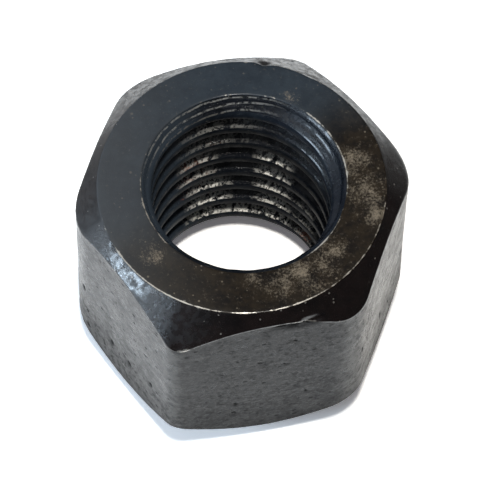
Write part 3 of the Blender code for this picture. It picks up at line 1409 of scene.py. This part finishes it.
@dataclass(frozen=True)
class TurnedFace(Finish):
    """The outer face: slate-grey oxide that turns brown towards the front, scuffed and speckled."""

    name: str = "turned_face"
    specular: float = 0.18
    relief: float = 0.012 * MM
    slate: Oxide = Oxide(0.3, 3.0, (0.017, 0.023, 0.031), (0.027, 0.036, 0.046))
    brown: Oxide = Oxide(0.6, 3.6, (0.003, 0.0015, 0.0005), (0.017, 0.011, 0.005))
    front: Direction = (0.45, -0.9, 0.0)
    front_fade: Fade = Fade(-6.0, 4.0)
    drift_scale: float = 0.12
    drift: float = 8.0
    haze: Colour = (0.10, 0.10, 0.10)
    hazy_left: Side = Side((-0.97, 0.1, 0.0), Fade(0.0, 14.0, 0.0, 0.38))
    scuff_tan: Colour = (0.37, 0.305, 0.225)
    scuff_strength: float = 0.5
    scuff_height: float = 0.4
    scuff_roughness: float = 0.6
    specks: Specks = Specks(2.6, 0.1)
    specks_behind: float = 0.14
    specks_in_front: float = 0.3
    dust: Clouds = Clouds(3.0, 5.0, 0.8, Fade(0.56, 0.72))
    dust_drifts: Clouds = Clouds(0.4, 3.0, 0.55, Fade(0.36, 0.62, 0.4, 1.0))
    dust_behind: float = 0.4
    dust_strength: float = 0.26
    rubbing: Rubbing = Rubbing(0.58, 2.1)
    rubbed_rim: Colour = (0.55, 0.51, 0.45)
    rubbed_share: float = 0.8
    rubbed_metal: float = 0.5
    oiling: Oiling = Oiling(0.35, 0.32, 0.46, 0.2)
    rings_per_mm: float = 7.0
    grit_scale: float = 5.0
    grit_height: float = 0.6
    scuffs: tuple[Patch, ...] = (
        Patch(9.9, 0.6, 2.6),
        Patch(10.5, -2.4, 2.8),
        Patch(10.8, -5.0, 2.0),
        Patch(3.4, -9.2, 2.6),
        Patch(4.2, -10.8, 2.0),
        Patch(1.6, -10.4, 2.2),
        Patch(-0.9, -9.2, 1.4),
        Patch(5.4, -8.8, 2.4),
        Patch(6.8, -7.6, 1.8),
        Patch(-8.7, -5.5, 1.7),
        Patch(5.8, 8.0, 1.2),
    )

    def material(self) -> bpy.types.Material:
        """Make the face's material.

        Returns:
            Mottled oxide with tan scuffs, dust and specks, and a worn bright edge.
        """
        material, nodes, shader, place = self.start()
        slate, brown = self.slate.colour(nodes, place), self.brown.colour(nodes, place)
        drift = nodes.math("MULTIPLY_ADD", nodes.cloud(place, self.drift_scale), self.drift, -self.drift / 2)
        ahead = nodes.math("ADD", nodes.vector_math("DOT_PRODUCT", place, self.front), drift)
        front = self.front_fade.of(nodes, ahead)
        colour = nodes.blend(front, slate, brown)
        colour = nodes.blend(self.hazy_left.mask(nodes, place), colour, self.haze)
        scuffed = Patch.mask(nodes, place, self.scuffs)
        speck_strength = nodes.level(front, self.specks_behind, self.specks_in_front)
        specks = nodes.times(self.specks.mask(nodes, place), speck_strength)
        drifts = nodes.times(self.dust_drifts.mask(nodes, place), nodes.level(front, self.dust_behind, 1.0))
        dust = nodes.times(self.dust.mask(nodes, place), drifts)
        light = nodes.most(nodes.times(scuffed, self.scuff_strength), specks)
        light = nodes.most(light, nodes.times(dust, self.dust_strength))
        colour = nodes.blend(light, colour, self.scuff_tan)
        bare = nodes.times(self.rubbing.mask(nodes, place), self.rubbed_share)
        nodes.feed(shader.inputs["Base Color"], nodes.blend(bare, colour, self.rubbed_rim))
        nodes.feed(shader.inputs["Metallic"], nodes.times(bare, self.rubbed_metal))
        rough = self.oiling.lay(nodes, shader, place)
        nodes.feed(shader.inputs["Roughness"], nodes.level(light, rough, self.scuff_roughness))
        rings = nodes.effect(TurningRings.tree(), Vector=place, Per_mm=self.rings_per_mm).outputs["Height"]
        height = nodes.math("ADD", rings, nodes.times(nodes.cloud(place, self.grit_scale), self.grit_height))
        self.bump(nodes, shader, nodes.math("MULTIPLY_ADD", scuffed, self.scuff_height, height))
        return material


@dataclass(frozen=True)
class TurnedChamfer(Finish):
    """The chamfer: smooth black oxide under oil, dull and torn at its left, dry at its right and scaly behind."""

    name: str = "turned_chamfer"
    specular: float = 0.72
    relief: float = 0.014 * MM
    oxide: Oxide = Oxide(0.4, 3.0, (0.001, 0.0005, 0.001), (0.007, 0.004, 0.004))
    dried: Colour = (0.026, 0.027, 0.027)
    dry_right: Side = Side((0.97, 0.25, 0.0), Fade(0.85, 0.99, 0.0, 0.8))
    rubbing: Rubbing = Rubbing(0.5, 1.2)
    specks: Specks = Specks(3.2, 0.09)
    speck_strength: float = 0.6
    oiling: Oiling = Oiling(1.8, 0.08, 0.22, 0.7)
    dull_left: Side = Side((-0.98, 0.17, 0.0), Fade(0.8, 0.98, 0.0, 0.28))
    hazy_front_left: Side = Side((-0.64, -0.77, 0.0), Fade(0.88, 0.995, 0.0, 0.14))
    rear: Side = Side((0.1, 0.995, 0.0), Fade(0.3, 0.8))
    rear_scale: Specks = Specks(1.3, 0.3)
    rear_roughness: float = 0.42
    scale_roughness: float = 0.95
    rings_per_mm: float = 4.0
    torn_front_left: Side = Side((-0.866, -0.5, 0.0), Fade(0.88, 0.98))
    flakes: Clouds = Clouds(3.6, 5.0, 0.75, Fade(0.36, 0.64))
    flake_height: float = 1.4

    def material(self) -> bpy.types.Material:
        """Make the chamfer's material.

        Returns:
            Black oxide whose gloss and flakes depend on the side that it faces.
        """
        material, nodes, shader, place = self.start()
        facing = nodes.vector_math("NORMALIZE", nodes.vector_math("MULTIPLY", place, (1.0, 1.0, 0.0)))
        specks = nodes.times(self.specks.mask(nodes, place), self.speck_strength)
        bare = nodes.most(self.rubbing.mask(nodes, place), specks)
        colour = nodes.blend(self.dry_right.mask(nodes, facing), self.oxide.colour(nodes, place), self.dried)
        nodes.feed(shader.inputs["Base Color"], nodes.blend(bare, colour, self.bare_steel))
        nodes.feed(shader.inputs["Metallic"], bare)
        oiled = self.oiling.lay(nodes, shader, place)
        dulled = nodes.most(self.dull_left.mask(nodes, facing), self.hazy_front_left.mask(nodes, facing))
        scale = nodes.level(self.rear_scale.mask(nodes, place), self.rear_roughness, self.scale_roughness)
        behind = nodes.times(self.rear.mask(nodes, facing), scale)
        nodes.feed(shader.inputs["Roughness"], nodes.most(nodes.math("ADD", oiled, dulled), behind))
        rings = nodes.effect(TurningRings.tree(), Vector=place, Per_mm=self.rings_per_mm).outputs["Height"]
        flakes = nodes.times(self.flakes.mask(nodes, place), self.torn_front_left.mask(nodes, facing))
        self.bump(nodes, shader, nodes.math("MULTIPLY_ADD", flakes, self.flake_height, rings))
        return material


@dataclass(frozen=True)
class ForgedFlats(Finish):
    """The wrench flats: matt forged skin with level grain, pits and rubbed corners, darker and more scribbled towards
    the foot.
    """

    name: str = "forged_flats"
    specular: float = 0.17
    relief: float = 0.013 * MM
    level_stretch: Direction = (0.9, 0.9, 1.2)
    oxide: Oxide = Oxide(0.9, 3.2, (0.002, 0.002, 0.003), (0.047, 0.046, 0.048))
    oxide_share: float = 0.5
    grain_scale: float = 3.0
    pit_density: float = 0.26
    scaly_front: Side = Side((0.2, -1.0, 0.0), Fade(11.3, 12.6))
    ridges: Fade = Fade(0.40, 0.66, 0.3, 1.0)
    front_ridges: Fade = Fade(0.45, 0.66, 0.0, 1.0)
    smooth_right: Side = Side((0.866, -0.5, 0.0), Fade(11.6, 13.2))
    smooth_share: float = 0.5
    smooth_ridges: float = 0.8
    smooth_relief: float = 0.4
    lighter_above: Fade = Fade(1.0, 12.0, 0.1, 1.0)
    warm: Colour = (0.055, 0.051, 0.045)
    rubbing: Rubbing = Rubbing(0.75, 1.5)
    rubbed: Colour = (0.07, 0.068, 0.064)
    rubbed_share: float = 0.8
    pit_rag_scale: float = 5.0
    pit_rag: float = 0.9
    pit_cut: Fade = Fade(0.25, 0.75)
    strewn: Clouds = Clouds(0.3, 2.0, 0.55, Fade(0.4, 0.56, 0.25, 1.0))
    strewn_right: float = 0.9
    speck_strength: float = 0.6
    scribble: Clouds = Clouds(1.7, 5.0, 0.8, Fade(0.51, 0.60))
    scribble_strength: float = 0.7
    front_soil: float = 0.5
    soiled_rear: Side = Side((0.0, 1.0, 0.0), Fade(6.0, 11.0, 0.0, 0.6))
    dirt: Colour = (0.006, 0.006, 0.006)
    dirt_roughness: float = 0.9
    oiling: Oiling = Oiling(0.6, 0.2, 0.3)
    hollow_roughness: float = 0.1
    foot_roughness: float = 0.2

    def material(self) -> bpy.types.Material:
        """Make the flats' material.

        Returns:
            Forged skin: light ridges over dark hollows, with dirt in its pits, darker and more scribbled towards its
                foot.
        """
        material, nodes, shader, place = self.start()
        level = nodes.vector_math("MULTIPLY", place, self.level_stretch)
        grain = nodes.effect(ForgingGrain.tree(), Vector=place, Scale=self.grain_scale, Pit_density=self.pit_density)
        grain_height = grain.outputs["Height"]
        scaly, smooth = self.scaly_front.mask(nodes, place), self.smooth_right.mask(nodes, place)
        low = nodes.level(scaly, self.ridges.low, self.front_ridges.low)
        least = nodes.level(scaly, self.ridges.start, self.front_ridges.start)
        ridges = nodes.spread(grain_height, low, self.ridges.high, least, self.ridges.end)
        ridges = nodes.level(nodes.times(smooth, self.smooth_share), ridges, self.smooth_ridges)
        # Darker towards the foot: lower down, the light ridges fade and the scribbles and roughness grow.
        upper_share = self.lighter_above.of(nodes, nodes.parts(place)[2])

        light = nodes.blend(self.oxide_share, self.oxide.colour(nodes, level), self.oxide.light)
        colour = nodes.blend(nodes.times(ridges, upper_share), self.oxide.dark, light)
        colour = nodes.blend(nodes.times(smooth, self.smooth_share), colour, self.warm)
        worn = nodes.times(self.rubbing.mask(nodes, place), self.rubbed_share)
        colour = nodes.blend(worn, colour, self.rubbed)

        rag = nodes.math("MULTIPLY_ADD", nodes.cloud(place, self.pit_rag_scale), self.pit_rag, -self.pit_rag / 2)
        pits = self.pit_cut.of(nodes, nodes.math("ADD", nodes.mask("pit"), rag))
        strewn = nodes.most(self.strewn.mask(nodes, place), nodes.times(smooth, self.strewn_right))
        specks = nodes.times(nodes.times(grain.outputs["Pits"], strewn), self.speck_strength)
        soiled = nodes.most(nodes.level(scaly, nodes.rest(upper_share), self.front_soil), self.soiled_rear.mask(nodes, place))
        scribble = nodes.times(nodes.times(self.scribble.mask(nodes, place), self.scribble_strength), soiled)
        dirt = nodes.most(nodes.most(pits, specks), scribble)
        nodes.feed(shader.inputs["Base Color"], nodes.blend(dirt, colour, self.dirt))

        oiled = self.oiling.lay(nodes, shader, level)
        rough = nodes.math("MULTIPLY_ADD", nodes.rest(ridges), self.hollow_roughness, oiled)
        rough = nodes.math("MULTIPLY_ADD", nodes.rest(upper_share), self.foot_roughness, rough)
        nodes.feed(shader.inputs["Roughness"], nodes.level(dirt, rough, self.dirt_roughness))
        self.bump(nodes, shader, nodes.level(nodes.times(smooth, self.smooth_relief), grain_height, 0.5))
        return material


@dataclass(frozen=True)
class TurnedSeat(Finish):
    """The seat cone and ring: turned, dark and a little polished by the wheel."""

    name: str = "turned_seat"
    oxide: Oxide = Oxide(0.35, 3.0, (0.022, 0.022, 0.024), (0.065, 0.063, 0.063))
    rings_per_mm: float = 5.0
    polish: Fade = Fade(0.52, 0.66, 0.0, 1.0)
    polish_share: float = 0.35
    oiling: Oiling = Oiling(0.4, 0.3, 0.46)

    def material(self) -> bpy.types.Material:
        """Make the seat's material.

        Returns:
            Dark turned steel, bright on the tops of its rings.
        """
        material, nodes, shader, place = self.start()
        rings = nodes.effect(TurningRings.tree(), Vector=place, Per_mm=self.rings_per_mm).outputs["Height"]
        bare = nodes.times(self.polish.of(nodes, rings), self.polish_share)
        colour = nodes.blend(bare, self.oxide.colour(nodes, place), self.bare_steel)
        nodes.feed(shader.inputs["Base Color"], colour)
        nodes.feed(shader.inputs["Metallic"], bare)
        nodes.feed(shader.inputs["Roughness"], self.oiling.lay(nodes, shader, place))
        self.bump(nodes, shader, rings)
        return material


@dataclass(frozen=True)
class BoreFinish(Finish):
    """What the thread's crests and grooves share: grease at the left, a rubbed mouth and the painted highlight lines of
    the run-in.
    """

    oxide: Oxide = Oxide(0.5, 3.0, (0.006, 0.008, 0.012), (0.016, 0.020, 0.026))
    grease: Colour = (0.038, 0.050, 0.066)
    greasy_left: Side = Side((-0.95, 0.3, 0.0), Fade(3.5, 7.0))
    rubbing: Rubbing = Rubbing(0.55, 0.9)
    highlight_spacing: float = 0.42
    lowest_highlight: float = 20.2
    highlight_strength: float = 0.32

    def greased(self, nodes: Nodes, place: Feed) -> Socket:
        """Place the oxide and the grease over it.

        Args:
            nodes: What adds the nodes.
            place: Where they are read.

        Returns:
            The colour of both.
        """
        return nodes.blend(self.greasy_left.mask(nodes, place), self.oxide.colour(nodes, place), self.grease)

    def run_in(self, nodes: Nodes, place: Feed) -> Socket:
        """Place the painted highlight lines of the run-in.

        Args:
            nodes: What adds the nodes.
            place: Where they are read.

        Returns:
            A mask that is 1 on the lines.
        """
        lines = nodes.effect(RunInHighlights.tree(), Vector=place, Spacing=self.highlight_spacing, Lowest=self.lowest_highlight)
        return lines.outputs["Mask"]


@dataclass(frozen=True)
class SmoothCrest(BoreFinish):
    """The thread's crests: the drilled bore between the grooves, smooth and almost black."""

    name: str = "smooth_crest"
    specular: float = 0.02
    dull: Colour = (0.34, 0.32, 0.28)
    scratch_stretch: Direction = (1.0, 1.0, 3.0)
    scratches: Clouds = Clouds(1.6, 4.0, 0.7, Fade(0.6, 0.74))
    scratch_strength: float = 0.35
    oiling: Oiling = Oiling(0.7, 0.3, 0.5)
    grain_scale: float = 3.0
    highlight_line_height: float = 0.6

    def material(self) -> bpy.types.Material:
        """Make the crests' material.

        Returns:
            Dark oxide with a few dull scratches along the turn, and the run-in's painted highlight lines.
        """
        material, nodes, shader, place = self.start()
        along = nodes.vector_math("MULTIPLY", place, self.scratch_stretch)
        scratches = nodes.times(self.scratches.mask(nodes, along), self.scratch_strength)
        # Painted highlights: the run-in lines take the same dull colour as the scratches and stand in for light caught
        # along the first turns at the back.
        lines = self.run_in(nodes, place)
        marked = nodes.most(scratches, nodes.times(lines, self.highlight_strength))
        bare = nodes.most(marked, self.rubbing.mask(nodes, place))
        nodes.feed(shader.inputs["Base Color"], nodes.blend(bare, self.greased(nodes, place), self.dull))
        nodes.feed(shader.inputs["Roughness"], self.oiling.lay(nodes, shader, place))
        grain = nodes.cloud(place, self.grain_scale)
        self.bump(nodes, shader, nodes.math("MULTIPLY_ADD", lines, self.highlight_line_height, grain))
        return material


@dataclass(frozen=True)
class CutThread(BoreFinish):
    """The thread's grooves: black and oily, with flanks torn to flakes, painted near white as their glint, and a little
    rust.
    """

    name: str = "cut_thread"
    specular: float = 0.24
    relief: float = 0.06 * MM
    oxide: Oxide = Oxide(0.6, 3.0, (0.003, 0.004, 0.006), (0.010, 0.012, 0.017))
    grease: Colour = (0.030, 0.040, 0.053)
    highlight_strength: float = 0.2
    flake_and_glint: Colour = (0.95, 0.93, 0.86)
    flakes: Clouds = Clouds(2.6, 4.0, 0.7, Fade(0.37, 0.48))
    flake_metal: float = 0.3
    flake_roughness: float = 0.5
    link_scale: float = 2.1
    link_bend_scale: float = 2.0
    link_radius: float = 0.42
    links: Fade = Fade(0.1, 0.3, 1.0, 0.0)
    rust: Colour = (0.34, 0.13, 0.075)
    rust_share: float = 0.8
    rust_on_flakes: float = 0.7
    oiling: Oiling = Oiling(0.7, 0.16, 0.36, 0.55)
    rings_per_mm: float = 2.2
    ring_height: float = 1.6
    rust_spots: tuple[Patch, ...] = (
        Patch(-2.9, 7.8, 3.2, 12.2),
        Patch(-3.6, 7.5, 2.4, 9.6),
        Patch(7.2, 4.2, 1.6, 2.8),
        Patch(-1.0, 8.3, 1.6, 14.8),
    )

    def material(self) -> bpy.types.Material:
        """Make the thread's material.

        Returns:
            Oily oxide with flakes, linked like a chain, on the torn flanks, painted near white as their glint, the
            run-in's painted highlight lines, and spots of rust.
        """
        material, nodes, shader, place = self.start()
        rusted = Patch.mask(nodes, place, self.rust_spots)
        colour = nodes.blend(nodes.times(rusted, self.rust_share), self.greased(nodes, place), self.rust)
        bent = nodes.vector_math("ADD", place, nodes.cloud(place, self.link_bend_scale))
        from_middle = nodes.cells(bent, self.link_scale).outputs["Distance"]
        from_link = nodes.math("ABSOLUTE", nodes.math("SUBTRACT", from_middle, self.link_radius))
        flakes = nodes.times(self.flakes.mask(nodes, place), self.links.of(nodes, from_link))
        torn = nodes.times(nodes.mask("torn"), flakes)
        # The run-in lines are painted highlights, laid on in the flakes' near-white colour.
        lines = nodes.times(self.run_in(nodes, place), self.highlight_strength)
        bare = nodes.most(torn, nodes.most(self.rubbing.mask(nodes, place), lines))
        # The flakes are torn metal. Their near-white colour is partly a painted glint.
        flake_and_glint = nodes.blend(nodes.times(rusted, self.rust_on_flakes), self.flake_and_glint, self.rust)
        nodes.feed(shader.inputs["Base Color"], nodes.blend(bare, colour, flake_and_glint))
        nodes.feed(shader.inputs["Metallic"], nodes.times(torn, self.flake_metal))
        oiled = self.oiling.lay(nodes, shader, place)
        nodes.feed(shader.inputs["Roughness"], nodes.level(torn, oiled, self.flake_roughness))
        rings = nodes.effect(TurningRings.tree(), Vector=place, Per_mm=self.rings_per_mm).outputs["Height"]
        grit = nodes.cloud(place, scale=4.0, detail=4.0, rough=0.7)
        self.bump(nodes, shader, nodes.math("MULTIPLY_ADD", rings, self.ring_height, grit))
        return material


def finishes() -> list[Finish]:
    """List the finishes.

    Returns:
        One finish for each zone, in the order of the material slots.
    """
    by_zone = {
        Zone.FACE: TurnedFace(),
        Zone.CHAMFER: TurnedChamfer(),
        Zone.FLATS: ForgedFlats(),
        Zone.SEAT: TurnedSeat(),
        Zone.THREAD: CutThread(),
        Zone.CREST: SmoothCrest(),
    }
    return [by_zone[zone] for zone in sorted(Zone, key=lambda zone: zone.value)]


@dataclass(frozen=True)
class SoftLamp:
    """A soft box that looks at the nut from a compass direction and a height angle."""

    name: str
    azimuth: float
    elevation: float
    distance: float
    width: float
    height: float
    radiance: float
    colour: Colour = (1.0, 1.0, 1.0)

    def build(self) -> bpy.types.Object:
        """Make the lamp, with its power worked out from its radiance and size.

        Returns:
            The lamp, turned towards the nut.
        """
        light = bpy.data.lights.new(self.name, "AREA")
        light.shape = "RECTANGLE"
        light.size = self.width
        light.size_y = self.height
        light.energy = self.radiance * math.pi * self.width * self.height
        light.color = self.colour
        lamp = bpy.data.objects.new(self.name, light)
        around, up = math.radians(self.azimuth), math.radians(self.elevation)
        back = Vector((math.cos(up) * math.cos(around), math.cos(up) * math.sin(around), math.sin(up)))
        lamp.matrix_world = Matrix.Translation(back * self.distance) @ back.to_track_quat("Z", "Y").to_matrix().to_4x4()
        bpy.context.scene.collection.objects.link(lamp)
        return lamp


@dataclass(frozen=True)
class Studio:
    """The pale floor, the soft light and the camera at the photograph's angle."""

    floor_size: float = 30.0
    floor_gap: float = 0.00002
    seen_paper: Colour = (1.5, 1.5, 1.5)
    lighting_paper: Colour = (0.80, 0.79, 0.78)
    mirrored_table: Colour = (0.08, 0.07, 0.07)
    near_glow: Colour = (0.11, 0.105, 0.11)
    far_glow: Colour = (0.9, 0.9, 0.9)
    paper_reach: float = 0.05
    paper_fade: float = 0.08
    dim_room: Colour = (0.06, 0.058, 0.055)
    bright_room: Colour = (0.28, 0.30, 0.33)
    bright_side: Colour = (-0.35, 0.45, 0.82)
    camera_azimuth: float = -12.57
    camera_elevation: float = 61.08
    camera_roll: float = 1.71
    camera_distance: float = 363.3 * MM
    camera_right: float = 0.71 * MM
    camera_up: float = -5.58 * MM
    lens: float = 302.6
    sensor: float = 36.0

    def build(self, target_height: float) -> None:
        """Set up floor, world, lamps, camera and colour handling.

        Args:
            target_height: The height of the face that the camera's distance is measured from.
        """
        self.build_floor()
        self.build_world()
        for lamp in self.lamps():
            lamp.build()
        self.build_camera(target_height)
        bpy.context.scene.view_settings.view_transform = "Standard"

    def lamps(self) -> tuple[SoftLamp, ...]:
        """List the lamps.

        Returns:
            A small one over the nut, a little to the front, and a cool window at its left.
        """
        overhead = SoftLamp(
            name="overhead",
            azimuth=-90.0,
            elevation=80.5,
            distance=1.2,
            width=0.16,
            height=0.16,
            radiance=128.0,
            colour=(1.0, 0.97, 0.91),
        )
        window = SoftLamp(
            name="left_window",
            azimuth=187.0,
            elevation=18.0,
            distance=0.6,
            width=0.28,
            height=0.2,
            radiance=19.5,
            colour=(0.68, 0.84, 1.0),
        )
        return overhead, window

    def build_floor(self) -> bpy.types.Object:
        """Make the floor: matt white paper that keeps the nut's shadow.

        Views see the paper white all over. Reflections find a dark table beyond it.

        Returns:
            The floor.
        """
        half = self.floor_size / 2
        mesh = bpy.data.meshes.new("floor")
        corners = [(x * half, y * half, -self.floor_gap) for x, y in ((-1, -1), (1, -1), (1, 1), (-1, 1))]
        mesh.from_pydata(corners, [], [(0, 1, 2, 3)])
        floor = bpy.data.objects.new("floor", mesh)
        bpy.context.scene.collection.objects.link(floor)
        material = bpy.data.materials.new("pale_floor")
        material.use_nodes = True
        nodes = Nodes(material.node_tree)
        material.node_tree.nodes.remove(material.node_tree.nodes["Principled BSDF"])
        away = nodes.vector_math("LENGTH", nodes.add("TexCoord").outputs["Object"])
        beyond = nodes.spread(away, self.paper_reach, self.paper_reach + self.paper_fade)
        path = nodes.add("LightPath")
        seen = path.outputs["Is Camera Ray"]
        bright = nodes.most(seen, path.outputs["Is Glossy Ray"])
        paper = nodes.blend(bright, self.lighting_paper, self.seen_paper)
        table = nodes.times(beyond, nodes.rest(seen))
        matt = nodes.add("BsdfDiffuse")
        nodes.feed(matt.inputs["Color"], nodes.blend(table, paper, self.mirrored_table))
        glow = nodes.add("Emission")
        nodes.feed(glow.inputs["Color"], nodes.blend(beyond, self.near_glow, self.far_glow))
        nodes.feed(glow.inputs["Strength"], seen)
        both = nodes.add("AddShader")
        nodes.feed(both.inputs[0], matt.outputs[0])
        nodes.feed(both.inputs[1], glow.outputs[0])
        nodes.feed(material.node_tree.nodes["Material Output"].inputs["Surface"], both.outputs[0])
        mesh.materials.append(material)
        return floor

    def build_world(self) -> None:
        """Light the room softly, with a bright side and a dim one."""
        world = bpy.data.worlds.new("room")
        bpy.context.scene.world = world
        world.use_nodes = True
        nodes = Nodes(world.node_tree)
        view = nodes.add("TexCoord").outputs["Generated"]
        room = nodes.spread(nodes.vector_math("DOT_PRODUCT", view, self.bright_side), 0.0, 1.0)
        background = world.node_tree.nodes["Background"]
        nodes.feed(background.inputs["Color"], nodes.blend(room, self.dim_room, self.bright_room))

    def build_camera(self, target_height: float) -> bpy.types.Object:
        """Return the camera, placed by its angles round the middle of the outer face.

        Args:
            target_height: The height of the outer face.

        Returns:
            The scene's camera.
        """
        around, up = math.radians(self.camera_azimuth), math.radians(self.camera_elevation)
        back = Vector((math.sin(around) * math.cos(up), -math.cos(around) * math.cos(up), math.sin(up)))
        level = Vector((math.cos(around), math.sin(around), 0.0))
        right = Matrix.Rotation(math.radians(self.camera_roll), 3, back) @ level
        above = back.cross(right)
        place = Vector((0.0, 0.0, target_height)) + back * self.camera_distance
        place += right * self.camera_right + above * self.camera_up
        lens = bpy.data.cameras.new("camera")
        lens.lens = self.lens
        lens.sensor_width = self.sensor
        camera = bpy.data.objects.new("camera", lens)
        turn = Matrix((right, above, back)).transposed()
        camera.matrix_world = Matrix.Translation(place) @ turn.to_4x4()
        bpy.context.scene.collection.objects.link(camera)
        bpy.context.scene.camera = camera
        return camera


def main() -> None:
    """Build the studio and the nut, and log how many points and faces the dressed nut has."""
    logging.basicConfig(level=logging.INFO, format="%(name)s: %(message)s")
    body = NutBody()
    Studio().build(body.height)
    LOG.info("studio: floor, lamps and camera are in place")
    nut = body.build()
    LOG.info("%s: %d points, %d faces", nut.name, len(nut.data.vertices), len(nut.data.polygons))


if __name__ == "__main__":
    main()
